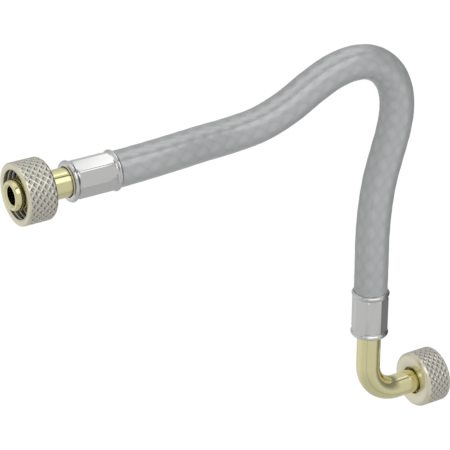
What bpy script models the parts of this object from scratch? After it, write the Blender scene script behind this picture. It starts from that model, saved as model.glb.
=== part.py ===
"""Braided flexible hose with a straight union at one end and a 90 degree elbow union at the other.

The hose lies on its side on a level floor at Z = 0. Both unions lie level along X at the height of a nut's
radius, the straight one opening towards -X and the elbow opening towards +X. The hose leaves each ferrule level
and droops on to the floor between them. Metres, +Z up.
"""

import math

import bmesh
import bpy
from mathutils import Vector

# Overall layout of the two unions
FACE_SPAN = 0.2003  # along X, from one nose face to the other
AXIS_SPAN = 0.1336  # along Y, between the two nut axes
CLEARANCE = 0.0003  # between pieces that touch

# Union nut, the same on both ends: G 1/2 internal thread, turned and knurled
NUT_RADIUS = 0.0118
NUT_LENGTH = 0.0122
NUT_THREAD_RADIUS = 0.0093  # crest of the internal thread
NUT_MOUTH_CHAMFER = 0.0004
NUT_FRONT_CHAMFER = 0.0005
NUT_REAR_ROUND = 0.0020
NUT_ROUND_STEPS = 3
NUT_REAR_WALL = 0.0028
NUT_BORE_RADIUS = 0.0059
KNURL_COLUMNS = 24  # diamonds round the nut
KNURL_HALF_PITCH = 0.001375  # half of a diamond's length along the axis
KNURL_DEPTH = 0.00045
KNURL_TURN = math.radians(2.5)
STRAIGHT_KNURL = (0.0009, 0.0014, 0.0007)  # smooth front, run-in to the first row of pits, and smooth rear
ELBOW_KNURL = (NUT_FRONT_CHAMFER + 0.0001, 0.0007, NUT_REAR_ROUND)  # knurled nearer to its front

# Tail pieces: the nose that seals in the mating valve, the collar behind the nut's wall and the hose stem
NOSE_PROTRUSION = 0.0020  # of the nose face beyond the nut's front face
NOSE_RADIUS = 0.0060
NOSE_CHAMFER = 0.0003
NOSE_BORE_RADIUS = 0.00355
COLLAR_RADIUS = 0.0077
COLLAR_LENGTH = 0.0036
STRAIGHT_NECK_RADIUS = 0.0056
ELBOW_NECK_RADIUS = 0.0050
ELBOW_BEND_RADIUS = 0.0150
ELBOW_BEND_STEPS = 9
ELBOW_REACH = 0.03755  # from the nose face to the hose leg's axis
STEM_RADIUS = 0.0038
STEM_BORE_RADIUS = 0.0030
STEM_BARB_HEIGHT = 0.00025
STEM_BARBS = 3
STEM_BARB_PITCH = 0.0055
SHOULDER_DEPTH = 0.0019  # of the tail's shoulder inside the ferrule's tail end
TAIL_SEGMENTS = 20

# Crimped ferrule, the same pressing on both ends, drilled to fit its tail
FERRULE_BEAD_SPAN = 0.0180  # between the crests of the two end beads
FERRULE_BEAD_RADIUS = 0.0079
FERRULE_BEAD_HALF_WIDTH = 0.0011
FERRULE_MOUTH_LENGTH = 0.0010  # from the outer bead's crest to the hose mouth
FERRULE_END_LENGTH = 0.0012  # from the inner bead's crest to the flat tail end
FERRULE_END_RADIUS = 0.0066  # of the flat tail end
FERRULE_ROUND_STEPS = 3
FERRULE_GROOVE_WIDTH = 0.0004  # between a bead and the pressed flats
FERRULE_GROOVE_RADIUS = 0.0072
FERRULE_WALL = 0.0007
CRIMP_ACROSS_FLATS = 0.0143
CRIMP_FLATS = 8
FERRULE_SEGMENTS = 24  # a multiple of CRIMP_FLATS
STRAIGHT_FERRULE_END = 0.0229  # from the nose face to the ferrule's tail end
ELBOW_FERRULE_END = 0.0300  # from the corner of the elbow's axes to the ferrule's tail end

# Hose: an extruded liner inside a woven sleeve, both squeezed between stem and ferrule at their ends
HOSE_RADIUS = 0.0070
BRAID_THICKNESS = 0.0005
LINER_THICKNESS = 0.0010
HOSE_TAPER = 0.0026  # length inside the mouth over which the crimp squeezes the hose
HOSE_STEP = 0.0060  # between sections along the hose
HOSE_BEVEL_RESOLUTION = 3

# Centreline of the free hose between the two ferrule mouths
HOSE_ROUTE = (
    (-0.0450, 0.0671, 0.0118),
    (-0.0312, 0.0671, 0.0106),
    (-0.0173, 0.0668, 0.0086),
    (-0.0033, 0.0666, 0.0072),
    (0.0106, 0.0681, 0.0070),
    (0.0236, 0.0726, 0.0070),
    (0.0343, 0.0782, 0.0070),
    (0.0447, 0.0825, 0.0070),
    (0.0536, 0.0839, 0.0070),
    (0.0615, 0.0828, 0.0070),
    (0.0682, 0.0790, 0.0070),
    (0.0731, 0.0730, 0.0070),
    (0.0755, 0.0665, 0.0070),
    (0.0761, 0.0595, 0.0070),
    (0.0750, 0.0516, 0.0070),
    (0.0722, 0.0418, 0.0070),
    (0.0684, 0.0303, 0.0076),
    (0.0653, 0.0190, 0.0092),
    (0.0633, 0.0073, 0.0108),
    (0.0626, -0.0046, 0.0118),
)

# Places that follow from the sizes above
AXIS_HEIGHT = NUT_RADIUS
COLLAR_BACK = NOSE_PROTRUSION + NUT_LENGTH - NUT_REAR_WALL - CLEARANCE  # from the nose face
FERRULE_FIRST_CREST = FERRULE_END_LENGTH
FERRULE_LAST_CREST = FERRULE_FIRST_CREST + FERRULE_BEAD_SPAN
FERRULE_LENGTH = FERRULE_LAST_CREST + FERRULE_MOUTH_LENGTH
FERRULE_BORE_ACROSS_FLATS = CRIMP_ACROSS_FLATS - 2 * FERRULE_WALL
CRIMPED_HOSE_RADIUS = FERRULE_BORE_ACROSS_FLATS / 2 - CLEARANCE
STEM_LENGTH = FERRULE_LENGTH - SHOULDER_DEPTH - FERRULE_MOUTH_LENGTH
STRAIGHT_NOSE = Vector((-FACE_SPAN / 2, AXIS_SPAN / 2, AXIS_HEIGHT))
ELBOW_NOSE = Vector((FACE_SPAN / 2, -AXIS_SPAN / 2, AXIS_HEIGHT))
ELBOW_STRAIGHT_LENGTH = ELBOW_REACH - ELBOW_BEND_RADIUS
ELBOW_LEG_LENGTH = ELBOW_FERRULE_END - ELBOW_BEND_RADIUS
STRAIGHT_MOUTH = STRAIGHT_NOSE + Vector((STRAIGHT_FERRULE_END + FERRULE_LENGTH, 0, 0))
ELBOW_MOUTH = ELBOW_NOSE + Vector((-ELBOW_REACH, ELBOW_FERRULE_END + FERRULE_LENGTH, 0))


def clear_scene():
    for obj in list(bpy.data.objects):
        bpy.data.objects.remove(obj, do_unlink=True)


def make_material(name, color, metallic, roughness):
    material = bpy.data.materials.new(name)
    material.use_nodes = True
    shader = material.node_tree.nodes["Principled BSDF"]
    shader.inputs["Base Color"].default_value = (*color, 1.0)
    shader.inputs["Metallic"].default_value = metallic
    shader.inputs["Roughness"].default_value = roughness
    return material


def make_empty(name, location, turn):
    """A fitting's own frame: its nose face at the origin, and +X pointing back into the fitting."""
    empty = bpy.data.objects.new(name, None)
    empty.location = location
    empty.rotation_euler.z = turn
    bpy.context.scene.collection.objects.link(empty)
    return empty


def mesh_object(name, bm, material, smooth_angle):
    bmesh.ops.recalc_face_normals(bm, faces=bm.faces)
    mesh = bpy.data.meshes.new(name)
    bm.to_mesh(mesh)
    bm.free()
    mesh.shade_smooth()
    mesh.set_sharp_from_angle(angle=math.radians(smooth_angle))
    mesh.materials.append(material)
    obj = bpy.data.objects.new(name, mesh)
    bpy.context.scene.collection.objects.link(obj)
    return obj


def circle(radius):
    """Section of constant radius, as a function of the angle."""
    return lambda angle: radius


def octagon(across_flats):
    """Section with CRIMP_FLATS flats and a corner at angle 0, as a function of the angle."""
    sector = math.tau / CRIMP_FLATS
    return lambda angle: across_flats / 2 / math.cos(angle % sector - sector / 2)


def straight_path(distance):
    """Centre of a section on the local X axis, and the two directions across it."""
    return Vector((distance, 0, 0)), Vector((0, 1, 0)), Vector((0, 0, 1))


def elbow_path(distance):
    """The same along the elbow: back from the nose, round a quarter bend, then out along -Y."""
    turn = (distance - ELBOW_STRAIGHT_LENGTH) / ELBOW_BEND_RADIUS
    turn = min(max(turn, 0), math.pi / 2)
    across = Vector((math.sin(turn), math.cos(turn), 0))
    tangent = Vector((math.cos(turn), -math.sin(turn), 0))
    bend_centre = Vector((ELBOW_STRAIGHT_LENGTH, -ELBOW_BEND_RADIUS, 0))
    past_turn = distance - ELBOW_STRAIGHT_LENGTH - turn * ELBOW_BEND_RADIUS
    return bend_centre + across * ELBOW_BEND_RADIUS + tangent * past_turn, across, Vector((0, 0, 1))


def add_ring(bm, frame, radius_at, segments):
    centre, across, up = frame
    ring = []
    for index in range(segments):
        angle = math.tau * index / segments
        ring.append(bm.verts.new(centre + radius_at(angle) * (math.cos(angle) * across + math.sin(angle) * up)))
    return ring


def bridge(bm, first, second):
    for index in range(len(first)):
        after = (index + 1) % len(first)
        bm.faces.new((first[index], first[after], second[after], second[index]))


def hollow_piece(name, path, outside, inside, segments, material):
    """A piece with a through bore. outside and inside list (distance, section) from its front to its back."""
    bm = bmesh.new()
    rings = [add_ring(bm, path(distance), section, segments) for distance, section in outside + inside[::-1]]
    for first, second in zip(rings, rings[1:] + rings[:1]):
        bridge(bm, first, second)
    return mesh_object(name, bm, material, smooth_angle=35)


def blank_radius(distance):
    """Outside of an unknurled nut, which is rounded at its rear edge."""
    over = max(distance - (NUT_LENGTH - NUT_REAR_ROUND), 0)
    return NUT_RADIUS - NUT_REAR_ROUND + math.sqrt(NUT_REAR_ROUND**2 - over**2)


def knurl_section(row, last_row, distance):
    """One row of the knurl's grid: pits and ridge crossings by turns, and a plain edge at either end."""
    radius = blank_radius(distance)
    if row in (0, last_row):
        return circle(radius)

    def section(angle):
        column = round(angle * 2 * KNURL_COLUMNS / math.tau)
        return radius - KNURL_DEPTH if (row + column) % 2 else radius

    return section


def add_knurl(bm, columns, knurl):
    """Recessed diamonds. Each cell of the grid is split along the ridge that crosses it."""
    smooth_front, run_in, smooth_rear = knurl
    first_pits, rear_edge = smooth_front + run_in, NUT_LENGTH - smooth_rear
    pit_rows = 1 + int((rear_edge - first_pits) / KNURL_HALF_PITCH - 1 / 3)
    distances = [first_pits + KNURL_HALF_PITCH * row for row in range(pit_rows)]
    distances = [smooth_front] + distances + [rear_edge]
    grid = []
    for row, distance in enumerate(distances):
        section = knurl_section(row, pit_rows + 1, distance)
        grid.append(add_ring(bm, straight_path(distance), section, columns))
    for row in range(pit_rows + 1):
        for column in range(columns):
            after = (column + 1) % columns
            near, near_after = grid[row][column], grid[row][after]
            far, far_after = grid[row + 1][column], grid[row + 1][after]
            if (row + column) % 2:
                bm.faces.new((near, near_after, far))
                bm.faces.new((near_after, far_after, far))
            else:
                bm.faces.new((near, near_after, far_after))
                bm.faces.new((near, far_after, far))
    return grid[0], grid[-1]


def nut_shoulder(smooth_rear):
    """Distances and radii from the knurl's end over the nut's rounded rear edge."""
    first_turn = math.asin(max(1 - smooth_rear / NUT_REAR_ROUND, 0))
    for step in range(1, NUT_ROUND_STEPS + 1):
        turn = first_turn + (math.pi / 2 - first_turn) * step / NUT_ROUND_STEPS
        distance = NUT_LENGTH - NUT_REAR_ROUND * (1 - math.sin(turn))
        yield distance, NUT_RADIUS - NUT_REAR_ROUND * (1 - math.cos(turn))


def make_nut(name, union, knurl, material):
    """Union nut, open at its front, with its origin on the axis it turns about."""
    bm = bmesh.new()
    columns = 2 * KNURL_COLUMNS
    knurl_front, knurl_rear = add_knurl(bm, columns, knurl)
    cavity_end = NUT_LENGTH - NUT_REAR_WALL
    section = (
        *nut_shoulder(knurl[-1]),
        (NUT_LENGTH, NUT_BORE_RADIUS),
        (cavity_end, NUT_BORE_RADIUS),
        (cavity_end, NUT_THREAD_RADIUS),
        (NUT_MOUTH_CHAMFER, NUT_THREAD_RADIUS),
        (0.0, NUT_THREAD_RADIUS + NUT_MOUTH_CHAMFER),
        (0.0, NUT_RADIUS - NUT_FRONT_CHAMFER),
        (NUT_FRONT_CHAMFER, NUT_RADIUS),
    )
    rings = [add_ring(bm, straight_path(distance), circle(radius), columns) for distance, radius in section]
    rings = [knurl_rear] + rings + [knurl_front]
    for first, second in zip(rings, rings[1:]):
        bridge(bm, first, second)
    nut = mesh_object(name, bm, material, smooth_angle=20)
    nut.parent = union
    nut.location.x = NOSE_PROTRUSION
    nut.rotation_euler.x = KNURL_TURN
    return nut


def union_front():
    """Outside of a tail from the nose face to the back of the collar that holds the nut."""
    collar_front = COLLAR_BACK - COLLAR_LENGTH
    return [
        (0.0, circle(NOSE_RADIUS - NOSE_CHAMFER)),
        (NOSE_CHAMFER, circle(NOSE_RADIUS)),
        (collar_front, circle(NOSE_RADIUS)),
        (collar_front, circle(COLLAR_RADIUS)),
        (COLLAR_BACK, circle(COLLAR_RADIUS)),
    ]


def hose_stem(shoulder):
    """Outside of the stem behind its shoulder, with saw-tooth barbs that hold the liner."""
    plain, crest = circle(STEM_RADIUS), circle(STEM_RADIUS + STEM_BARB_HEIGHT)
    stations = [(shoulder, plain)]
    for barb in range(STEM_BARBS):
        start = shoulder + (barb + 0.5) * STEM_BARB_PITCH
        stations += [(start, plain), (start + STEM_BARB_HEIGHT, crest), (start + STEM_BARB_PITCH / 2, plain)]
    stations.append((shoulder + STEM_LENGTH, plain))
    return stations


def tail_bore(turns, shoulder):
    """Waterway from the nose to the stem's end. It narrows in a cone ahead of the shoulder."""
    wide, narrow = circle(NOSE_BORE_RADIUS), circle(STEM_BORE_RADIUS)
    stations = [(distance, wide) for distance in (0.0, *turns, shoulder - STEM_RADIUS)]
    return stations + [(shoulder, narrow), (shoulder + STEM_LENGTH, narrow)]


def make_tail(name, union, path, turns, neck_radius, ferrule_end, material):
    """Nose, collar, neck and hose stem in one piece. turns are the distances where the path bends."""
    shoulder = ferrule_end + SHOULDER_DEPTH
    outside = union_front()
    outside += [(distance, circle(neck_radius)) for distance in (COLLAR_BACK, *turns, shoulder)]
    outside += hose_stem(shoulder)
    tail = hollow_piece(name, path, outside, tail_bore(turns, shoulder), TAIL_SEGMENTS, material)
    tail.parent = union
    return tail


def bead_section(share):
    """A ferrule bead's section at share of its half width from the crest, -1 to 1."""
    rise = FERRULE_BEAD_RADIUS - FERRULE_GROOVE_RADIUS
    return circle(FERRULE_GROOVE_RADIUS + rise * math.cos(share * math.pi / 2))


def ferrule_outside():
    """Flat tail end, round shoulder, bead, groove, pressed flats, groove, bead and mouth lip."""
    half = FERRULE_BEAD_HALF_WIDTH
    stations = [(0.0, circle(FERRULE_END_RADIUS))]
    for step in range(1, FERRULE_ROUND_STEPS):
        turn = math.pi / 2 * step / FERRULE_ROUND_STEPS
        radius = FERRULE_END_RADIUS + (FERRULE_BEAD_RADIUS - FERRULE_END_RADIUS) * math.sin(turn)
        stations.append((FERRULE_FIRST_CREST * (1 - math.cos(turn)), circle(radius)))
    stations += [(FERRULE_FIRST_CREST + share * half, bead_section(share)) for share in (0, 1 / 2, 1)]
    stations += [
        (FERRULE_FIRST_CREST + half + FERRULE_GROOVE_WIDTH, circle(FERRULE_GROOVE_RADIUS)),
        (FERRULE_FIRST_CREST + half + 2 * FERRULE_GROOVE_WIDTH, octagon(CRIMP_ACROSS_FLATS)),
        (FERRULE_LAST_CREST - half - 2 * FERRULE_GROOVE_WIDTH, octagon(CRIMP_ACROSS_FLATS)),
        (FERRULE_LAST_CREST - half - FERRULE_GROOVE_WIDTH, circle(FERRULE_GROOVE_RADIUS)),
    ]
    stations += [(FERRULE_LAST_CREST + share * half, bead_section(share)) for share in (-1, -1 / 2, 0, 1 / 2)]
    stations.append((FERRULE_LENGTH, circle(HOSE_RADIUS + CLEARANCE + FERRULE_WALL / 2)))
    return stations


def ferrule_inside(tail_radius):
    """The tail's hole in the end wall, the pressed sleeve and the round mouth."""
    half = FERRULE_BEAD_HALF_WIDTH
    hole = circle(tail_radius + CLEARANCE)
    mouth = circle(HOSE_RADIUS + CLEARANCE)
    return [
        (0.0, hole),
        (FERRULE_WALL, hole),
        (FERRULE_WALL, circle(FERRULE_GROOVE_RADIUS - FERRULE_WALL)),
        (FERRULE_FIRST_CREST + half, octagon(FERRULE_BORE_ACROSS_FLATS)),
        (FERRULE_LAST_CREST - half, octagon(FERRULE_BORE_ACROSS_FLATS)),
        (FERRULE_LAST_CREST, mouth),
        (FERRULE_LENGTH, mouth),
    ]


def make_ferrule(name, union, location, turn, tail_radius, material):
    """Crimped sleeve from its tail end, at its origin, to its mouth round the hose."""
    ferrule = hollow_piece(
        name, straight_path, ferrule_outside(), ferrule_inside(tail_radius), FERRULE_SEGMENTS, material
    )
    ferrule.parent = union
    ferrule.location = location
    ferrule.rotation_euler.z = turn
    return ferrule


def smooth_curve(points, start_direction, end_direction, step):
    """Points about one step apart on the smooth curve through the given points."""
    lengths = [(after - before).length for before, after in zip(points, points[1:])]
    slopes = [start_direction]
    for index in range(1, len(points) - 1):
        before, after = lengths[index - 1], lengths[index]
        slope_before = (points[index] - points[index - 1]) / before
        slope_after = (points[index + 1] - points[index]) / after
        slopes.append((slope_before * after + slope_after * before) / (before + after))
    slopes.append(end_direction)
    found = []
    for index, length in enumerate(lengths):
        pieces = math.ceil(length / step)
        for piece in range(pieces):
            t = piece / pieces
            found.append(
                points[index] * (2 * t**3 - 3 * t**2 + 1)
                + slopes[index] * length * (t**3 - 2 * t**2 + t)
                + points[index + 1] * (3 * t**2 - 2 * t**3)
                + slopes[index + 1] * length * (t**3 - t**2)
            )
    return found + [points[-1]]


def hose_stations():
    """(centre, squeezed) along the whole hose, from shoulder to shoulder. It never dips into the floor."""
    inward, outward = Vector((1, 0, 0)), Vector((0, -1, 0))
    end_depth = FERRULE_LENGTH - SHOULDER_DEPTH - CLEARANCE
    route = [STRAIGHT_MOUTH] + [Vector(point) for point in HOSE_ROUTE] + [ELBOW_MOUTH]
    stations = [(STRAIGHT_MOUTH - inward * depth, True) for depth in (end_depth, HOSE_TAPER)]
    for centre in smooth_curve(route, inward, outward, HOSE_STEP):
        stations.append((Vector((centre.x, centre.y, max(centre.z, HOSE_RADIUS))), False))
    stations += [(ELBOW_MOUTH + outward * depth, True) for depth in (HOSE_TAPER, end_depth)]
    return stations


def make_hose_layer(name, stations, free_radius, crimped_radius, thickness, material):
    """One layer of the hose: a bevelled curve, thickened inwards into an open-ended tube."""
    curve = bpy.data.curves.new(name, "CURVE")
    curve.dimensions = "3D"
    curve.bevel_depth = free_radius
    curve.bevel_resolution = HOSE_BEVEL_RESOLUTION
    curve.use_fill_caps = False
    spline = curve.splines.new("POLY")
    spline.points.add(len(stations) - 1)
    for point, (centre, squeezed) in zip(spline.points, stations):
        point.co = (*centre, 1)
        point.radius = crimped_radius / free_radius if squeezed else 1
    spline.use_smooth = True
    curve.materials.append(material)
    layer = bpy.data.objects.new(name, curve)
    bpy.context.scene.collection.objects.link(layer)
    wall = layer.modifiers.new("Wall", "SOLIDIFY")
    wall.thickness = thickness
    wall.offset = -1
    return layer


def make_hose():
    braid = make_material("grey_braid", (0.38, 0.39, 0.40), 0.0, 0.35)
    liner = make_material("black_liner", (0.03, 0.03, 0.03), 0.0, 0.6)
    stations = hose_stations()
    make_hose_layer("hose_braid", stations, HOSE_RADIUS, CRIMPED_HOSE_RADIUS, BRAID_THICKNESS, braid)
    inset = BRAID_THICKNESS + CLEARANCE
    make_hose_layer(
        "hose_liner", stations, HOSE_RADIUS - inset, CRIMPED_HOSE_RADIUS - inset, LINER_THICKNESS, liner
    )


def make_unions():
    nut = make_material("knurled_nut", (0.56, 0.52, 0.42), 1.0, 0.35)
    brass = make_material("yellow_tail", (0.62, 0.55, 0.30), 1.0, 0.25)
    steel = make_material("crimped_steel", (0.58, 0.58, 0.57), 1.0, 0.25)

    straight = make_empty("straight_union", STRAIGHT_NOSE, 0)
    make_nut("straight_nut", straight, STRAIGHT_KNURL, nut)
    make_tail("straight_tail", straight, straight_path, (), STRAIGHT_NECK_RADIUS, STRAIGHT_FERRULE_END, brass)
    ferrule_at = Vector((STRAIGHT_FERRULE_END, 0, 0))
    make_ferrule("straight_ferrule", straight, ferrule_at, 0, STRAIGHT_NECK_RADIUS, steel)

    elbow = make_empty("elbow_union", ELBOW_NOSE, math.pi)
    make_nut("elbow_nut", elbow, ELBOW_KNURL, nut)
    bend_length = ELBOW_BEND_RADIUS * math.pi / 2
    turns = [ELBOW_STRAIGHT_LENGTH + bend_length * step / ELBOW_BEND_STEPS for step in range(ELBOW_BEND_STEPS + 1)]
    path_to_ferrule = turns[-1] + ELBOW_LEG_LENGTH
    make_tail("elbow_tail", elbow, elbow_path, turns, ELBOW_NECK_RADIUS, path_to_ferrule, brass)
    ferrule_at = Vector((ELBOW_REACH, -ELBOW_FERRULE_END, 0))
    make_ferrule("elbow_ferrule", elbow, ferrule_at, -math.pi / 2, ELBOW_NECK_RADIUS, steel)


clear_scene()
make_unions()
make_hose()
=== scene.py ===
"""Looks of the braided flexible hose: woven sleeve, knurled union nuts, plated tails and steel ferrules.

Metres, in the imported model's frame: the hose lies on the floor at Z = 0.
"""

import math

import bpy
import numpy as np
from mathutils import Matrix, Vector


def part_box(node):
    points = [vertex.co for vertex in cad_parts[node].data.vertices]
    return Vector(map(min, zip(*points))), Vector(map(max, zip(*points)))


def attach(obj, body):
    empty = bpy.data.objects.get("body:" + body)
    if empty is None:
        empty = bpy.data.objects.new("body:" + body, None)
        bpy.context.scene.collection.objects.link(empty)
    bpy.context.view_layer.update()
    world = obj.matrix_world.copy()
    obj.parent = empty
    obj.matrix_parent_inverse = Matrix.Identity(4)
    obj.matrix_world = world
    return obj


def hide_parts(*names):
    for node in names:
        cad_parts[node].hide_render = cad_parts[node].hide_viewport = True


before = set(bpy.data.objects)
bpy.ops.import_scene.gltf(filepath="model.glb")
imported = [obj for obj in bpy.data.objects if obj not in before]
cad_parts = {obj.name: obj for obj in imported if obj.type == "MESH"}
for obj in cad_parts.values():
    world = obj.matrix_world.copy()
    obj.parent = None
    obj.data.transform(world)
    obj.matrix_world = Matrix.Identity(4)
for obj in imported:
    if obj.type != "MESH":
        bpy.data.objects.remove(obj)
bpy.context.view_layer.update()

# Camera, from the photograph
CAMERA_TARGET = (-0.00695, 0.0301, 0.009)
CAMERA_DISTANCE = 0.811
CAMERA_RIGHT = (0.8434, 0.0008, 0.5373)
CAMERA_UP = (0.2335, 0.9002, -0.3677)
CAMERA_FOCAL_WIDTHS = 2090 / 450  # focal length in frame widths
SENSOR = 36.0  # millimetres

# Woven sleeve
HOSE_RADIUS = 0.0070
HOSE_CRIMPED_RADIUS = 0.00615
HOSE_TUCK = 0.0040  # length hidden inside each ferrule
HOSE_TAPER = 0.0026  # length over which it narrows inside the ferrule
HOSE_WALL = 0.0005
HOSE_COLUMNS = 128
HOSE_STEP = 0.0005
LINING_STEP = 8  # woven rings to a ring of the plain inside
RIBBONS = 8  # each way round the hose
RIBBON_PITCH = 0.0070  # along the hose, from one ribbon to the next
RIBBON_CROWN = 0.00004  # height of a ribbon's rounded back
RIBBON_WAVE = 0.00006  # rise and fall of a ribbon over and under the others
RIBBON_POWER = 3  # the higher, the flatter a ribbon's back
STRANDS = 9  # in a ribbon

# The hose's route between its ferrules, the same points as in the solids
HOSE_ROUTE = (
    (-0.0450, 0.0671, 0.0118),
    (-0.0312, 0.0671, 0.0106),
    (-0.0173, 0.0668, 0.0086),
    (-0.0033, 0.0666, 0.0072),
    (0.0106, 0.0681, 0.0070),
    (0.0236, 0.0726, 0.0070),
    (0.0343, 0.0782, 0.0070),
    (0.0447, 0.0825, 0.0070),
    (0.0536, 0.0839, 0.0070),
    (0.0615, 0.0828, 0.0070),
    (0.0682, 0.0790, 0.0070),
    (0.0731, 0.0730, 0.0070),
    (0.0755, 0.0665, 0.0070),
    (0.0761, 0.0595, 0.0070),
    (0.0750, 0.0516, 0.0070),
    (0.0722, 0.0418, 0.0070),
    (0.0684, 0.0303, 0.0076),
    (0.0653, 0.0190, 0.0092),
    (0.0633, 0.0073, 0.0108),
    (0.0626, -0.0046, 0.0118),
)

# Union nuts
NUT_RADIUS = 0.0118
NUT_COLUMNS = 384
NUT_FRONT_ROUND = 0.0007
NUT_FRONT_STEPS = 8
NUT_REAR_ROUND = 0.0020
NUT_REAR_STEPS = 12
NUT_EDGE = 0.0003  # chamfer of the hole in the rear wall
KNURL_COLUMNS = 24
KNURL_PITCH = 0.00275  # length of a diamond along the axis
KNURL_DEPTH = 0.00045
KNURL_RIDGE = 0.22  # share of the way from a ridge to a pit that stays smooth
KNURL_FLOOR = 0.85  # share at which a pit reaches its full depth
KNURL_TURN = math.radians(2.5)
KNURL_STEPS = 16  # rows in a diamond's length
KNURL_FADE = 0.0005  # length over which the pits come in at the knurl's edges
# Painted shade: the knurl's ridges and the thread's crests sit at this level of the relief that the plating
# reads, so they come out greyer than plain metal
KNURL_CREST = 0.85  # relief of a ridge between pits, where plain metal is 1
# Front edge, first row of pits and rear edge of each knurl, from the nut's front
STRAIGHT_KNURL = (0.0009, 0.0023, 0.0117)
ELBOW_KNURL = (0.0005, 0.0013, 0.0102)
NUT_WALL = 0.0028
NUT_BORE_RADIUS = 0.0059
THREAD_RADIUS = 0.0093
THREAD_DEPTH = 0.00116
THREAD_PITCH = 0.001814
THREAD_STEPS = 14  # rows in a pitch
THREAD_START = 0.70  # turns, where the groove starts round the mouth
THREAD_SLOPE = 1.3  # steepness of the groove's flanks
THREAD_CREST = 0.15  # taken off the groove, so that the thread's crest stays flat
THREAD_LEAD_IN = 0.0003
THREAD_END_GAP = 0.0004  # from its last row to the rear wall
MOUTH_CHAMFER = 0.0003

# Tails
TAIL_COLUMNS = 96
NOSE_RADIUS = 0.0060
NOSE_CONE_DROP = 0.0008  # of the flank, from its full radius to the flat face
NOSE_CONE_LENGTH = 0.0024
NOSE_BULGE = 0.0003  # from the square corner to the point that the flank bulges towards
NOSE_STEPS = 12
NOSE_EDGE = 0.0008  # chamfer round the bore
NOSE_BORE_RADIUS = 0.00355
NOSE_PROTRUSION = 0.0020
COLLAR_RADIUS = 0.0077
COLLAR_LENGTH = 0.0036
CLEARANCE = 0.0003
STRAIGHT_NECK_RADIUS = 0.0056
ELBOW_NECK_RADIUS = 0.0050
ELBOW_BEND_RADIUS = 0.0150
ELBOW_BEND_STEPS = 32
TAIL_TUCK = 0.0060  # length hidden inside the ferrule

# Ferrules
FERRULE_COLUMNS = 384
FERRULE_END_RADIUS = 0.0066
FERRULE_END_LENGTH = 0.0012
FERRULE_MOUTH_LENGTH = 0.0010
FERRULE_BEAD_RADIUS = 0.0079
FERRULE_BEAD_HALF_WIDTH = 0.0011
FERRULE_GROOVE_RADIUS = 0.0072
FERRULE_GROOVE_WIDTH = 0.0002
FERRULE_WALL = 0.0007
BEAD_STEPS = 8  # from a bead's crest to the groove beside it
BEAD_POWER = 1.5  # the higher, the narrower a bead's crest
MOUTH_STEPS = 4  # of those, on the mouth's side of its bead
CRIMP_ACROSS_FLATS = 0.0143
CRIMP_FLATS = 8
CRIMP_CORNER_RADIUS = 0.00762  # where the corners are cut round
CRIMP_BLEND = 0.00004  # how softly the flats run into the corners
CRIMP_RUN_IN = 0.0006  # length over which the flats come up beside a groove
CRIMP_STEPS = 6
MOUTH_GAP = 0.0001  # between the mouth and the hose
MOUTH_EDGE = 0.00012  # thickness of the mouth's rolled edge

# Materials: colours from dull to bright, roughness from smooth to rough, and noise scales
# Painted shade on the nuts: the pit and ridge colours darken the knurl and the thread, and plain is the
# plating's own colour
PLATING_PIT_PAINTED_SHADE = (0.52, 0.50, 0.44)
PLATING_RIDGE_PAINTED_SHADE = (0.72, 0.70, 0.62)
PLATING_PLAIN = (0.86, 0.815, 0.635)
PLATING_ROUGHNESS = (0.24, 0.34)
PLATING_MOTTLE = 900
PLATING_GRAIN = 0.00001  # depth of its bump
TAIL_COLOURS = ((0.83, 0.78, 0.44), (0.87, 0.82, 0.48))
TAIL_MOTTLE = 500
FERRULE_COLOURS = ((0.70, 0.70, 0.695), (0.73, 0.73, 0.725))
FERRULE_MOTTLE = 700
POLISHED_ROUGHNESS = (0.08, 0.13)
POLISHED_GRAIN = 0.000002
# Painted shade in the weave's valleys and painted sheen on the ribbons that run one way, both as darker grey
WEAVE_PAINTED_SHADE_COLOURS = ((0.475, 0.485, 0.49), (0.56, 0.57, 0.575))
WEAVE_METALLIC = 0.20
WEAVE_PAINTED_SHEEN = 0.6  # of the ribbons that run one way, against those that run the other
WEAVE_ROUGHNESS = (0.15, 0.19)
WEAVE_MOTTLE = 300
STRAND_DEPTH = 0.000002
STRAND_STRENGTH = 0.5
RUBBER_COLOURS = ((0.02, 0.02, 0.02), (0.035, 0.035, 0.035))
RUBBER_ROUGHNESS = (0.5, 0.65)
RUBBER_MOTTLE = 800

# Studio: brightness by direction. An edge is the pair of values between which a part of it comes or goes
STUDIO_LEVEL = 0.66
BEHIND = (0.30, 0.95, 0)
BEHIND_EDGE = (0.40, 0.75)
BEHIND_FOOT = (-0.70, -0.45)
BEHIND_TOP = (0.60, 0.85)
RIGHT_EDGE = (0.55, 0.80)
RIGHT_DROP = 0.42
FAR_RIGHT_EDGE = (0.88, 0.97)
FAR_RIGHT_DROP = 0.14
BELOW = (-0.484, -0.436, -0.759)
BELOW_EDGE = (0.70, 0.95)
BELOW_RISE = 0.10
FRONT_EDGE = (-0.85, -0.45)
FRONT_DROP = 0.13
FOOT_EDGE = (-0.92, -0.80)
FOOT_DROP = 0.12
SEAM_NORMAL = (0.12, 0.10, 1)
SEAM_OFFSET = 0.409
SEAM_EDGE = (0.03, 0.08)
SEAM_DROP = (0.12, 0.65)  # in front of the hose and behind it
SEAM_REACH = (-0.45, 0.80)
WORLD_GLOW = 0.10
WHITE = (1, 1, 1, 1)

# Floor
FLOOR_SIZE = 6
FLOOR_COLOUR = (0.5, 0.5, 0.5, 1)
FLOOR_WHITE = 1.13  # level that the camera sees
FLOOR_WHITE_SHARE = 0.86  # the rest is matt and keeps the shadow
FLOOR_GLOW = 0.75  # of the studio, as the floor behind the hose shows it to a reflection
GLOW_BACK_EDGE = (0.07, 0.10)  # Y between which that glow comes in
GLOW_SIDE_EDGE = (-0.065, -0.035)  # X between which it reaches its full strength
GLOW_SIDE_SHARE = 0.3  # of it to the left of that

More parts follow.
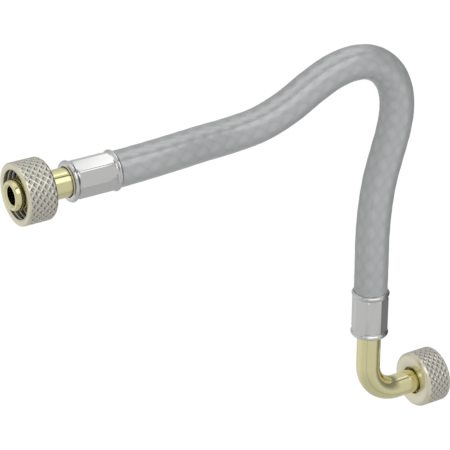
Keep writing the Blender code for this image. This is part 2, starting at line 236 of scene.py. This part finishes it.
# Lamps: where each stands, what it faces, its size and its watts
KEY_SOFTBOX = ((-0.2, 0.9, 0.9), (0.0, 0.03, 0.0), (1.2, 0.8), 2.0)
BACK_SOFTBOX = ((-0.01, 0.32, 0.295), (-0.01, 0.0, 0.295), (0.49, 0.31), 0.287)


def node_box(name):
    low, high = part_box(name)
    return low, high, (low + high) / 2


NUT_LOW, NUT_HIGH, NUT_CENTRE = node_box("straight_nut")
NUT_LENGTH = NUT_HIGH.x - NUT_LOW.x
STRAIGHT_NOSE = Vector((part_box("straight_tail")[0].x, NUT_CENTRE.y, NUT_CENTRE.z))
ELBOW_NUT_CENTRE = node_box("elbow_nut")[2]
ELBOW_NOSE = Vector((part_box("elbow_tail")[1].x, ELBOW_NUT_CENTRE.y, ELBOW_NUT_CENTRE.z))
STRAIGHT_SLEEVE = node_box("straight_ferrule")
ELBOW_SLEEVE = node_box("elbow_ferrule")
FERRULE_LENGTH = STRAIGHT_SLEEVE[1].x - STRAIGHT_SLEEVE[0].x
STRAIGHT_MOUTH = Vector((STRAIGHT_SLEEVE[1].x, STRAIGHT_SLEEVE[2].y, STRAIGHT_SLEEVE[2].z))
ELBOW_MOUTH = Vector((ELBOW_SLEEVE[2].x, ELBOW_SLEEVE[1].y, ELBOW_SLEEVE[2].z))
ELBOW_REACH = ELBOW_NOSE.x - ELBOW_SLEEVE[2].x
COLLAR_BACK = NOSE_PROTRUSION + NUT_LENGTH - NUT_WALL - CLEARANCE


def make_camera():
    data = bpy.data.cameras.new("photo_camera")
    data.sensor_width = SENSOR
    data.lens = SENSOR * CAMERA_FOCAL_WIDTHS
    camera = bpy.data.objects.new("photo_camera", data)
    bpy.context.scene.collection.objects.link(camera)
    right, up = Vector(CAMERA_RIGHT).normalized(), Vector(CAMERA_UP).normalized()
    back = right.cross(up)
    turn = Matrix((right, up, back)).transposed().to_4x4()
    camera.matrix_world = Matrix.Translation(Vector(CAMERA_TARGET) + back * CAMERA_DISTANCE) @ turn
    bpy.context.scene.camera = camera


def set_inputs(tree, node, inputs):
    """Sets a node's inputs, each to a value or to another node's socket."""
    for key, value in inputs.items():
        if isinstance(value, bpy.types.NodeSocket):
            tree.links.new(value, node.inputs[key])
        else:
            node.inputs[key].default_value = value


def add_node(tree, kind, inputs=None, **settings):
    node = tree.nodes.new(kind)
    for key, value in settings.items():
        setattr(node, key, value)
    set_inputs(tree, node, inputs or {})
    return node


def math_node(tree, operation, first, second=0.0):
    return add_node(tree, "ShaderNodeMath", {0: first, 1: second}, operation=operation).outputs[0]


def ramp(tree, value, low, high, from_value=0.0, to_value=1.0):
    """Value mapped from one range to another, and held at its ends."""
    inputs = {0: value, 1: from_value, 2: to_value, 3: low, 4: high}
    return add_node(tree, "ShaderNodeMapRange", inputs).outputs[0]


def mix_colours(tree, factor, first, second):
    """Between two colours. The first may be another node's socket."""
    first = first if isinstance(first, bpy.types.NodeSocket) else (*first, 1)
    inputs = {0: factor, 6: first, 7: (*second, 1)}
    return add_node(tree, "ShaderNodeMix", inputs, data_type="RGBA").outputs[2]


def mix_values(tree, factor, first, second):
    """Between two numbers, each of which may be another node's socket."""
    return add_node(tree, "ShaderNodeMix", {0: factor, 2: first, 3: second}).outputs[0]


def chain(tree, operation, first, *others):
    """One sum, difference or product of several values."""
    for other in others:
        first = math_node(tree, operation, first, other)
    return first


def noise(tree, scale):
    place = add_node(tree, "ShaderNodeTexCoord").outputs["Object"]
    inputs = {"Vector": place, "Scale": scale, "Detail": 2.0}
    return add_node(tree, "ShaderNodeTexNoise", inputs).outputs[0]


def relief(tree):
    """0 in the bottom of a piece's relief and 1 on its crests, from the mesh."""
    return add_node(tree, "ShaderNodeAttribute", attribute_name="relief").outputs["Fac"]


def bump(tree, height, distance, strength=1.0):
    inputs = {"Height": height, "Distance": distance, "Strength": strength}
    return add_node(tree, "ShaderNodeBump", inputs).outputs[0]


def new_material(name, metallic):
    material = bpy.data.materials.new(name)
    material.use_nodes = True
    shader = material.node_tree.nodes["Principled BSDF"]
    shader.inputs["Metallic"].default_value = metallic
    return material, material.node_tree, shader


def nut_material():
    """Pale champagne plating, with painted shade that greys the knurl and darkens its pits and the thread's
    grooves.
    """
    material, tree, shader = new_material("champagne_plating", 1.0)
    mottle = noise(tree, PLATING_MOTTLE)
    up_to_ridge = ramp(tree, relief(tree), 0.0, 1.0, 0.0, KNURL_CREST)
    past_ridge = ramp(tree, relief(tree), 0.0, 1.0, KNURL_CREST, 1.0)
    # Painted shade, darkest in the pits and the thread's grooves
    knurled = mix_colours(tree, up_to_ridge, PLATING_PIT_PAINTED_SHADE, PLATING_RIDGE_PAINTED_SHADE)
    inputs = {
        "Base Color": mix_colours(tree, past_ridge, knurled, PLATING_PLAIN),
        "Roughness": ramp(tree, mottle, *PLATING_ROUGHNESS),
        "Normal": bump(tree, mottle, PLATING_GRAIN),
    }
    set_inputs(tree, shader, inputs)
    return material


def polished_material(name, colours, scale):
    """Bright smooth metal with a faint mottle."""
    material, tree, shader = new_material(name, 1.0)
    mottle = noise(tree, scale)
    inputs = {
        "Base Color": mix_colours(tree, mottle, *colours),
        "Roughness": ramp(tree, mottle, *POLISHED_ROUGHNESS),
        "Normal": bump(tree, mottle, POLISHED_GRAIN),
    }
    set_inputs(tree, shader, inputs)
    return material


def braid_material():
    """Satin grey ribbons of parallel strands, with painted shade in the weave's valleys and painted sheen on
    one set of ribbons. The mesh makes the ribbons, and the strands are bump.
    """
    material, tree, shader = new_material("grey_weave", WEAVE_METALLIC)
    place = add_node(tree, "ShaderNodeUVMap", uv_map="weave").outputs[0]
    parts = add_node(tree, "ShaderNodeSeparateXYZ", {0: place}).outputs
    first = math_node(tree, "ADD", parts[0], parts[1])
    second = math_node(tree, "SUBTRACT", parts[0], parts[1])
    cells = math_node(tree, "ADD", math_node(tree, "FLOOR", first), math_node(tree, "FLOOR", second))
    below = math_node(tree, "FLOORED_MODULO", cells, 2.0)
    lines = []
    for across in (first, second):
        lines.append(math_node(tree, "SINE", math_node(tree, "MULTIPLY", across, math.tau * STRANDS)))
    strands = mix_values(tree, below, *lines)
    # Painted shade in the valleys between ribbons, and painted sheen that darkens the ribbons that run one
    # way
    shade = math_node(tree, "MULTIPLY", relief(tree), ramp(tree, below, WEAVE_PAINTED_SHEEN, 1.0))
    colour = mix_colours(tree, shade, *WEAVE_PAINTED_SHADE_COLOURS)
    roughness = ramp(tree, noise(tree, WEAVE_MOTTLE), *WEAVE_ROUGHNESS)
    normal = bump(tree, strands, STRAND_DEPTH, STRAND_STRENGTH)
    set_inputs(tree, shader, {"Base Color": colour, "Roughness": roughness, "Normal": normal})
    return material


def liner_material():
    material, tree, shader = new_material("black_rubber", 0.0)
    mottle = noise(tree, RUBBER_MOTTLE)
    colour = mix_colours(tree, mottle, *RUBBER_COLOURS)
    set_inputs(tree, shader, {"Base Color": colour, "Roughness": ramp(tree, mottle, *RUBBER_ROUGHNESS)})
    return material


def straight_path(distances):
    """Centres on the local X axis and the two directions across it, one row for each distance."""
    rows = (len(distances), 1)
    centres = np.outer(distances, (1.0, 0.0, 0.0))
    return centres, np.tile((0.0, 1.0, 0.0), rows), np.tile((0.0, 0.0, 1.0), rows)


def elbow_path(distances):
    """The same along the elbow: back from the nose, round a quarter bend, then out along -Y."""
    straight = ELBOW_REACH - ELBOW_BEND_RADIUS
    turn = np.clip((distances - straight) / ELBOW_BEND_RADIUS, 0, math.pi / 2)
    zero = np.zeros_like(turn)
    across = np.stack((np.sin(turn), np.cos(turn), zero), 1)
    tangent = np.stack((np.cos(turn), -np.sin(turn), zero), 1)
    past_turn = distances - straight - turn * ELBOW_BEND_RADIUS
    bend_centre = np.array((straight, -ELBOW_BEND_RADIUS, 0.0))
    centres = bend_centre + across * ELBOW_BEND_RADIUS + tangent * past_turn[:, None]
    return centres, across, np.tile((0.0, 0.0, 1.0), (len(turn), 1))


def ring_mesh(name, path, distances, radii, material, crests=None, weave=None, sharp=30):
    """A closed surface of rings along a path, the last ring joined to the first.

    radii holds a row for each ring. crests, of the same shape, is the relief that the material reads.
    weave is the UV scale (round, along). Edges past the angle sharp, in degrees, stay sharp.
    """
    rows, columns = radii.shape
    centres, across, up = (part[:, None, :] for part in path)
    angles = np.arange(columns)[None, :, None] * math.tau / columns
    points = centres + radii[:, :, None] * (np.cos(angles) * across + np.sin(angles) * up)
    row, column = np.meshgrid(np.arange(rows), np.arange(columns), indexing="ij")
    next_row, next_column = (row + 1) % rows, (column + 1) % columns
    corners = ((row, column), (row, next_column), (next_row, next_column), (next_row, column))
    faces = np.stack([r * columns + c for r, c in corners], -1).reshape(-1, 4)
    mesh = bpy.data.meshes.new(name)
    mesh.from_pydata(points.reshape(-1, 3).tolist(), [], faces.tolist())
    if weave:
        layer = mesh.uv_layers.new(name="weave")
        around = np.stack([column, column + 1, column + 1, column], -1) / columns * weave[0]
        along = np.stack([distances[r] for r in (row, row, next_row, next_row)], -1) * weave[1]
        layer.data.foreach_set("uv", np.stack([around, along], -1).reshape(-1))
    if crests is not None:
        attribute = mesh.attributes.new("relief", "FLOAT", "POINT")
        attribute.data.foreach_set("value", crests.reshape(-1).astype(np.float32))
    mesh.shade_smooth()
    mesh.set_sharp_from_angle(angle=math.radians(sharp))
    mesh.materials.append(material)
    piece = bpy.data.objects.new(name, mesh)
    bpy.context.scene.collection.objects.link(piece)
    return piece


def place(piece, position, turn, body, slot, *nodes):
    piece.matrix_world = Matrix.Translation(position) @ Matrix.Rotation(turn, 4, "Z")
    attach(piece, body)
    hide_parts(*nodes)


def plain_rows(stations, columns):
    """Distances and radii of plain turned rings."""
    distances = np.array([distance for distance, radius in stations])
    return distances, np.repeat(np.array([[radius] for distance, radius in stations]), columns, axis=1)


def smooth(share):
    """0 to 1, with no slope at either end."""
    return share * share * (3 - 2 * share)


def round_edge(start, end, corner, steps):
    """Stations of a curved edge from start to end, which bulges towards the corner."""
    start, end, corner = (np.array(point) for point in (start, end, corner))
    shares = [step / steps for step in range(steps + 1)]
    return [tuple((1 - t) ** 2 * start + 2 * t * (1 - t) * corner + t * t * end) for t in shares]


def hermite(points, start_direction, end_direction, step):
    """Points about one step apart on the smooth curve through the given points."""
    lengths = [(after - before).length for before, after in zip(points, points[1:])]
    slopes = [start_direction]
    for index in range(1, len(points) - 1):
        before, after = lengths[index - 1], lengths[index]
        slope_before = (points[index] - points[index - 1]) / before
        slope_after = (points[index + 1] - points[index]) / after
        slopes.append((slope_before * after + slope_after * before) / (before + after))
    slopes.append(end_direction)
    found = []
    for index, length in enumerate(lengths):
        pieces = math.ceil(length / step)
        for piece in range(pieces):
            t = piece / pieces
            found.append(
                points[index] * (2 * t**3 - 3 * t**2 + 1)
                + slopes[index] * length * (t**3 - 2 * t**2 + t)
                + points[index + 1] * (3 * t**2 - 2 * t**3)
                + slopes[index + 1] * length * (t**3 - t**2)
            )
    return found + [points[-1]]


def hose_line():
    """Centreline from just inside one ferrule to just inside the other, never below the floor."""
    inward, outward = Vector((1, 0, 0)), Vector((0, -1, 0))
    tuck = int(HOSE_TUCK / HOSE_STEP)
    line = [STRAIGHT_MOUTH - inward * HOSE_STEP * count for count in range(tuck, 0, -1)]
    route = [STRAIGHT_MOUTH] + [Vector(point) for point in HOSE_ROUTE] + [ELBOW_MOUTH]
    line += [Vector((p.x, p.y, max(p.z, HOSE_RADIUS))) for p in hermite(route, inward, outward, HOSE_STEP)]
    line += [ELBOW_MOUTH + outward * HOSE_STEP * count for count in range(1, tuck + 1)]
    return np.array(line)


def carried_frames(line):
    """Directions across a curve, carried along it without twist."""
    tangents = np.gradient(line, axis=0)
    tangents /= np.linalg.norm(tangents, axis=1)[:, None]
    across = np.zeros_like(line)
    current = np.array((0.0, 0.0, 1.0))
    for index, tangent in enumerate(tangents):
        current = current - tangent * current.dot(tangent)
        current /= np.linalg.norm(current)
        across[index] = current
    return across, np.cross(tangents, across)


def weave_height(around, along):
    """Height of the woven surface, 0 to 1, where two sets of ribbons pass over and under each other."""
    first, second = around + along, around - along
    part_first, part_second = first % 1, second % 1
    side = 1 - 2 * ((np.floor(first) + np.floor(second)) % 2)
    crown_first = 1 - np.abs(2 * part_first - 1) ** RIBBON_POWER
    crown_second = 1 - np.abs(2 * part_second - 1) ** RIBBON_POWER
    height_first = RIBBON_WAVE * side * np.sin(math.pi * part_second) + RIBBON_CROWN * crown_first
    height_second = -RIBBON_WAVE * side * np.sin(math.pi * part_first) + RIBBON_CROWN * crown_second
    return np.maximum(height_first, height_second) / (RIBBON_WAVE + RIBBON_CROWN)


def make_hose(material):
    line = hose_line()
    steps = np.linalg.norm(np.diff(line, axis=0), axis=1)
    distances = np.concatenate(([0.0], np.cumsum(steps)))
    around, along = np.meshgrid(np.arange(HOSE_COLUMNS) / HOSE_COLUMNS * RIBBONS, distances / RIBBON_PITCH)
    height = weave_height(around, along)
    inside = np.clip((HOSE_TUCK - np.minimum(distances, distances[-1] - distances)) / HOSE_TAPER, 0, 1)
    free = HOSE_RADIUS + (HOSE_CRIMPED_RADIUS - HOSE_RADIUS) * inside
    outside = free[:, None] - (RIBBON_WAVE + RIBBON_CROWN) * (1 - height)
    lining = np.repeat((free - HOSE_WALL)[::-1, None], HOSE_COLUMNS, axis=1)[::LINING_STEP]
    across, up = carried_frames(line)
    back = slice(None, None, -LINING_STEP)
    path = tuple(np.concatenate((rows, rows[back])) for rows in (line, across, up))
    radii = np.concatenate((outside, lining))
    crests = np.concatenate((height, np.ones_like(lining)))
    reach = np.concatenate((distances, distances[back]))
    weave = (RIBBONS, 1 / RIBBON_PITCH)
    hose = ring_mesh("woven_sleeve", path, reach, radii, material, crests, weave, sharp=60)
    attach(hose, "hose")
    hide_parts("hose_braid")


def blank_radius(distances):
    """Outside of an unknurled nut, round at both edges."""
    front = np.maximum(NUT_FRONT_ROUND - distances, 0)
    rear = np.maximum(distances - (NUT_LENGTH - NUT_REAR_ROUND), 0)
    front_drop = NUT_FRONT_ROUND - np.sqrt(NUT_FRONT_ROUND**2 - front**2)
    rear_drop = NUT_REAR_ROUND - np.sqrt(np.maximum(NUT_REAR_ROUND**2 - rear**2, 0))
    return NUT_RADIUS - front_drop - rear_drop


def knurled_share(distances, knurl):
    """1 within the knurled band and 0 outside it, with a short fade at both ends."""
    front_edge, first_pits, rear_edge = knurl
    return np.clip(np.minimum(distances - front_edge, rear_edge - distances) / KNURL_FADE, 0, 1)[:, None]


def pit_depth(angles, distances, knurl):
    """Depth of the recessed diamonds, 0 on the ridges that cross between them and 1 in a pit."""
    front_edge, first_pits, rear_edge = knurl
    around = (angles[None, :] - KNURL_TURN) / math.tau * KNURL_COLUMNS
    along = (distances[:, None] - first_pits) / KNURL_PITCH
    first, second = (along + around + 0.5) % 1, (along - around + 0.5) % 1
    from_ridge = np.minimum(1 - np.abs(2 * first - 1), 1 - np.abs(2 * second - 1))
    depth = np.clip((from_ridge - KNURL_RIDGE) / (KNURL_FLOOR - KNURL_RIDGE), 0, 1)
    return depth * knurled_share(distances, knurl)


def thread_height(angles, distances):
    """Depth of the internal thread, 0 at its crest and 1 at its root. It fades in at the mouth."""
    turn = (distances[:, None] / THREAD_PITCH - angles[None, :] / math.tau + THREAD_START) % 1
    groove = np.clip((1 - np.abs(2 * turn - 1)) * THREAD_SLOPE - THREAD_CREST, 0, 1)
    fade = np.clip(distances / THREAD_LEAD_IN, 0, 1)
    return smooth(groove) * fade[:, None]


def make_nut(name, nose, turn, body, node, knurl, material):
    """Union nut from its open mouth back, all one turned piece."""
    angles = np.arange(NUT_COLUMNS) * math.tau / NUT_COLUMNS
    front_edge, first_pits, rear_edge = knurl
    front = NUT_FRONT_ROUND * (1 - np.cos(np.linspace(0, math.pi / 2, NUT_FRONT_STEPS)))
    row_length = KNURL_PITCH / KNURL_STEPS
    rows_in_nut = math.ceil(NUT_LENGTH / row_length)
    rows = first_pits + row_length * np.arange(-rows_in_nut, rows_in_nut)
    rows = rows[(rows > NUT_FRONT_ROUND + row_length / 4) & (rows < rear_edge)]
    last_turn = math.asin(max(rows[-1] - NUT_LENGTH + NUT_REAR_ROUND, 0) / NUT_REAR_ROUND)
    rear = NUT_LENGTH - NUT_REAR_ROUND * (1 - np.sin(np.linspace(last_turn, math.pi / 2, NUT_REAR_STEPS)[1:]))
    outside = np.concatenate((front, rows, rear))
    pits = pit_depth(angles, outside, knurl)
    outer = blank_radius(outside)[:, None] - KNURL_DEPTH * pits

    bore_edge = NUT_BORE_RADIUS + NUT_EDGE
    cavity_end = NUT_LENGTH - NUT_WALL
    wall = [(NUT_LENGTH, bore_edge), (NUT_LENGTH - NUT_EDGE, NUT_BORE_RADIUS), (cavity_end, NUT_BORE_RADIUS)]
    wall += [(cavity_end, THREAD_RADIUS + THREAD_DEPTH)]
    wall_rows = plain_rows(wall, NUT_COLUMNS)
    thread_rows = np.arange(cavity_end - THREAD_END_GAP, MOUTH_CHAMFER, -THREAD_PITCH / THREAD_STEPS)
    thread = thread_height(angles, thread_rows - MOUTH_CHAMFER)
    mouth = [(MOUTH_CHAMFER, THREAD_RADIUS), (0.0, THREAD_RADIUS + MOUTH_CHAMFER)]
    mouth_rows = plain_rows(mouth, NUT_COLUMNS)
    distances = np.concatenate((outside, wall_rows[0], thread_rows, mouth_rows[0]))
    radii = np.concatenate((outer, wall_rows[1], THREAD_RADIUS + THREAD_DEPTH * thread, mouth_rows[1]))
    plain = [np.ones_like(part[1]) for part in (wall_rows, mouth_rows)]
    # Relief that the plating paints shade from: lowest in the pits and the thread's grooves, and lower on the
    # knurl's ridges and the thread's crests than on plain metal
    ridges = 1 - (1 - KNURL_CREST) * knurled_share(outside, knurl)
    crests = np.concatenate((ridges - KNURL_CREST * pits, plain[0], KNURL_CREST * (1 - thread), plain[1]))
    nut = ring_mesh(name, straight_path(distances), distances, radii, material, crests, sharp=50)
    front_face = nose + Matrix.Rotation(turn, 3, "Z") @ Vector((NOSE_PROTRUSION, 0, 0))
    place(nut, front_face, turn, body, "nut", node)


def tail_stations(neck_radius, end):
    """Outside from the nose to the start of the neck, and the waterway back from the end in the ferrule."""
    collar_front = COLLAR_BACK - COLLAR_LENGTH
    face_edge = (0.0, NOSE_RADIUS - NOSE_CONE_DROP)
    bulge = (NOSE_BULGE, NOSE_RADIUS - NOSE_BULGE)
    outer = round_edge(face_edge, (NOSE_CONE_LENGTH, NOSE_RADIUS), bulge, NOSE_STEPS)
    outer += [(collar_front, NOSE_RADIUS), (collar_front, COLLAR_RADIUS), (COLLAR_BACK, COLLAR_RADIUS)]
    outer += [(COLLAR_BACK, neck_radius)]
    inner = [(end, NOSE_BORE_RADIUS), (NOSE_EDGE, NOSE_BORE_RADIUS), (0.0, NOSE_BORE_RADIUS + NOSE_EDGE)]
    return outer, inner


def make_straight_tail(material):
    end = STRAIGHT_SLEEVE[0].x - STRAIGHT_NOSE.x + TAIL_TUCK
    outer, inner = tail_stations(STRAIGHT_NECK_RADIUS, end)
    distances, radii = plain_rows(outer + [(end, STRAIGHT_NECK_RADIUS)] + inner, TAIL_COLUMNS)
    tail = ring_mesh("straight_stem", straight_path(distances), distances, radii, material)
    place(tail, STRAIGHT_NOSE, 0, "hose", "tail", "straight_tail")


def make_elbow_tail(material):
    straight = ELBOW_REACH - ELBOW_BEND_RADIUS
    bend = ELBOW_BEND_RADIUS * math.pi / 2
    leg = ELBOW_SLEEVE[0].y - ELBOW_NOSE.y - ELBOW_BEND_RADIUS
    end = straight + bend + leg + TAIL_TUCK
    outer, inner = tail_stations(ELBOW_NECK_RADIUS, end)
    turns = [straight + bend * step / ELBOW_BEND_STEPS for step in range(ELBOW_BEND_STEPS + 1)]
    outer += [(turn, ELBOW_NECK_RADIUS) for turn in turns] + [(end, ELBOW_NECK_RADIUS)]
    inner = inner[:1] + [(turn, NOSE_BORE_RADIUS) for turn in turns[::-1]] + inner[1:]
    distances, radii = plain_rows(outer + inner, TAIL_COLUMNS)
    tail = ring_mesh("elbow_stem", elbow_path(distances), distances, radii, material)
    place(tail, ELBOW_NOSE, math.pi, "hose", "tail", "elbow_tail")


def crimp_section():
    """Pressed flats that run softly into round corners."""
    angles = np.arange(FERRULE_COLUMNS) * math.tau / FERRULE_COLUMNS
    sector = math.tau / CRIMP_FLATS
    from_flat = angles % sector - sector / 2
    flats = CRIMP_ACROSS_FLATS / 2 / np.cos(from_flat)
    past = (flats - CRIMP_CORNER_RADIUS) / CRIMP_BLEND
    return flats - CRIMP_BLEND * np.logaddexp(0, past)


def bead_radius(share):
    """Radius at a share of the way from a bead's crest to the groove beside it."""
    rise = FERRULE_BEAD_RADIUS - FERRULE_GROOVE_RADIUS
    return FERRULE_GROOVE_RADIUS + rise * math.cos(math.pi / 2 * share) ** BEAD_POWER


def ferrule_outside(crest_far):
    """(distance, radius, share of the pressed section) from the tail end to the mouth."""
    rows = [(0.0, FERRULE_END_RADIUS, 0.0)]
    for step in range(1, BEAD_STEPS + 1):
        turn = math.pi / 2 * step / BEAD_STEPS
        radius = FERRULE_END_RADIUS + (FERRULE_BEAD_RADIUS - FERRULE_END_RADIUS) * math.sin(turn)
        rows.append((FERRULE_END_LENGTH * (1 - math.cos(turn)), radius, 0.0))
    for step in range(1, BEAD_STEPS + 1):
        share = step / BEAD_STEPS
        rows.append((FERRULE_END_LENGTH + FERRULE_BEAD_HALF_WIDTH * share, bead_radius(share), 0.0))
    flats_start = FERRULE_END_LENGTH + FERRULE_BEAD_HALF_WIDTH + FERRULE_GROOVE_WIDTH
    flats_end = crest_far - FERRULE_BEAD_HALF_WIDTH - FERRULE_GROOVE_WIDTH
    parts = [step / CRIMP_STEPS for step in range(1, CRIMP_STEPS + 1)]
    for part in parts:
        rows.append((flats_start + CRIMP_RUN_IN * part, FERRULE_GROOVE_RADIUS, smooth(part)))
    for part in reversed(parts):
        rows.append((flats_end - CRIMP_RUN_IN * part, FERRULE_GROOVE_RADIUS, smooth(part)))
    for step in range(-BEAD_STEPS, MOUTH_STEPS + 1):
        share = step / BEAD_STEPS
        rows.append((crest_far + FERRULE_BEAD_HALF_WIDTH * share, bead_radius(share), 0.0))
    rows.append((FERRULE_LENGTH, HOSE_RADIUS + MOUTH_GAP + MOUTH_EDGE, 0.0))
    return rows


def make_ferrule(name, position, turn, node, hole_radius, material):
    crest_far = FERRULE_LENGTH - FERRULE_MOUTH_LENGTH
    distances, plain, share = np.array(ferrule_outside(crest_far)).T
    radii = np.outer(plain * (1 - share), np.ones(FERRULE_COLUMNS)) + np.outer(share, crimp_section())
    inner = [
        (FERRULE_LENGTH, HOSE_RADIUS + MOUTH_GAP),
        (crest_far, HOSE_RADIUS + MOUTH_GAP),
        (crest_far - FERRULE_BEAD_HALF_WIDTH, CRIMP_ACROSS_FLATS / 2 - FERRULE_WALL),
        (FERRULE_END_LENGTH + FERRULE_BEAD_HALF_WIDTH, CRIMP_ACROSS_FLATS / 2 - FERRULE_WALL),
        (FERRULE_WALL, FERRULE_GROOVE_RADIUS - FERRULE_WALL),
        (FERRULE_WALL, hole_radius),
        (0.0, hole_radius),
    ]
    inner_rows = plain_rows(inner, FERRULE_COLUMNS)
    distances = np.concatenate((distances, inner_rows[0]))
    radii = np.concatenate((radii, inner_rows[1]))
    ferrule = ring_mesh(name, straight_path(distances), distances, radii, material, sharp=60)
    place(ferrule, position, turn, "hose", "ferrule", node)


def vector_part(tree, vector, axis):
    """Dot product of a vector with an axis."""
    node = add_node(tree, "ShaderNodeVectorMath", {0: vector, 1: axis}, operation="DOT_PRODUCT")
    return node.outputs["Value"]


def studio_level(tree, direction, glow):
    """Brightness of the studio in a direction.

    It is brighter behind the hose, by the glow, and low on its front left. It is darker in front, at its foot
    and on its right, and a dark seam runs round it.
    """
    side, back, height = add_node(tree, "ShaderNodeSeparateXYZ", {0: direction}).outputs
    right = ramp(tree, side, 0.0, 1.0, *RIGHT_EDGE)
    not_right = math_node(tree, "SUBTRACT", 1.0, right)
    behind = ramp(tree, vector_part(tree, direction, BEHIND), 0.0, 1.0, *BEHIND_EDGE)
    above_foot = ramp(tree, height, 0.0, 1.0, *BEHIND_FOOT)
    below_top = ramp(tree, height, 1.0, 0.0, *BEHIND_TOP)
    from_seam = math_node(tree, "SUBTRACT", vector_part(tree, direction, SEAM_NORMAL), SEAM_OFFSET)
    seam = ramp(tree, math_node(tree, "ABSOLUTE", from_seam), 1.0, 0.0, *SEAM_EDGE)
    rises = (
        chain(tree, "MULTIPLY", behind, above_foot, below_top, not_right, glow),
        ramp(tree, vector_part(tree, direction, BELOW), 0.0, BELOW_RISE, *BELOW_EDGE),
    )
    drops = (
        ramp(tree, back, FRONT_DROP, 0.0, *FRONT_EDGE),
        ramp(tree, height, FOOT_DROP, 0.0, *FOOT_EDGE),
        math_node(tree, "MULTIPLY", right, RIGHT_DROP),
        ramp(tree, side, 0.0, FAR_RIGHT_DROP, *FAR_RIGHT_EDGE),
        chain(tree, "MULTIPLY", seam, ramp(tree, back, *SEAM_DROP, *SEAM_REACH), not_right),
    )
    return chain(tree, "SUBTRACT", chain(tree, "ADD", STUDIO_LEVEL, *rises), *drops)


def make_floor():
    """Pale floor that keeps the hose's soft shadow. It reads white, and as the studio in a reflection."""
    bpy.ops.mesh.primitive_plane_add(size=FLOOR_SIZE)
    floor = bpy.context.object
    floor.name = "studio_floor"
    material = bpy.data.materials.new("studio_floor")
    material.use_nodes = True
    tree = material.node_tree
    tree.nodes.clear()
    rays = add_node(tree, "ShaderNodeLightPath").outputs
    geometry = add_node(tree, "ShaderNodeNewGeometry").outputs
    reverse = {0: geometry["Incoming"], 1: (-1, -1, -1)}
    outgoing = add_node(tree, "ShaderNodeVectorMath", reverse, operation="MULTIPLY").outputs[0]
    across, back = add_node(tree, "ShaderNodeSeparateXYZ", {0: geometry["Position"]}).outputs[:2]
    glow = ramp(tree, back, 0.0, FLOOR_GLOW, *GLOW_BACK_EDGE)
    glow = math_node(tree, "MULTIPLY", glow, ramp(tree, across, GLOW_SIDE_SHARE, 1.0, *GLOW_SIDE_EDGE))
    level = mix_values(tree, rays["Is Camera Ray"], studio_level(tree, outgoing, glow), FLOOR_WHITE)
    share = mix_values(tree, rays["Is Camera Ray"], rays["Is Glossy Ray"], FLOOR_WHITE_SHARE)
    matt = add_node(tree, "ShaderNodeBsdfDiffuse", {"Color": FLOOR_COLOUR}).outputs[0]
    bright = add_node(tree, "ShaderNodeEmission", {"Strength": level}).outputs[0]
    mixed = add_node(tree, "ShaderNodeMixShader", {0: share, 1: matt, 2: bright}).outputs[0]
    add_node(tree, "ShaderNodeOutputMaterial", {"Surface": mixed})
    floor.data.materials.append(material)


def make_world():
    """The studio round the hose, and white behind everything."""
    world = bpy.data.worlds.new("studio")
    bpy.context.scene.world = world
    world.use_nodes = True
    tree = world.node_tree
    tree.nodes.clear()
    direction = add_node(tree, "ShaderNodeTexCoord").outputs["Generated"]
    seen = add_node(tree, "ShaderNodeLightPath").outputs["Is Camera Ray"]
    level = mix_values(tree, seen, studio_level(tree, direction, WORLD_GLOW), 1.0)
    background = add_node(tree, "ShaderNodeBackground", {"Color": WHITE, "Strength": level}).outputs[0]
    add_node(tree, "ShaderNodeOutputWorld", {"Surface": background})


def make_lamp(name, position, target, size, power, reflected):
    data = bpy.data.lights.new(name, "AREA")
    data.shape = "RECTANGLE"
    data.size, data.size_y = size
    data.energy = power
    lamp = bpy.data.objects.new(name, data)
    bpy.context.scene.collection.objects.link(lamp)
    lamp.location = position
    lamp.rotation_euler = (Vector(target) - Vector(position)).to_track_quat("-Z", "Y").to_euler()
    lamp.visible_glossy = reflected


def make_lamps():
    """A broad key that reflections don't show, and a panel behind the hose that they do."""
    make_lamp("key_softbox", *KEY_SOFTBOX, reflected=False)
    make_lamp("back_softbox", *BACK_SOFTBOX, reflected=True)


make_camera()
make_hose(braid_material())
nut_finish = nut_material()
tail_finish = polished_material("yellow_plating", TAIL_COLOURS, TAIL_MOTTLE)
ferrule_finish = polished_material("pressed_steel", FERRULE_COLOURS, FERRULE_MOTTLE)
make_nut("knurled_nut", STRAIGHT_NOSE, 0, "straight_union_nut", "straight_nut", STRAIGHT_KNURL, nut_finish)
make_nut("knurled_elbow_nut", ELBOW_NOSE, math.pi, "elbow_union_nut", "elbow_nut", ELBOW_KNURL, nut_finish)
make_straight_tail(tail_finish)
make_elbow_tail(tail_finish)
straight_end = Vector((STRAIGHT_SLEEVE[0].x, STRAIGHT_SLEEVE[2].y, STRAIGHT_SLEEVE[2].z))
elbow_end = Vector((ELBOW_SLEEVE[2].x, ELBOW_SLEEVE[0].y, ELBOW_SLEEVE[2].z))
make_ferrule(
    "straight_sleeve", straight_end, 0, "straight_ferrule", STRAIGHT_NECK_RADIUS + CLEARANCE, ferrule_finish
)
make_ferrule(
    "elbow_sleeve", elbow_end, math.pi / 2, "elbow_ferrule", ELBOW_NECK_RADIUS + CLEARANCE, ferrule_finish
)
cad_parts["hose_liner"].data.materials[0] = liner_material()
make_floor()
make_world()
make_lamps()
bpy.context.scene.view_settings.view_transform = "Standard"
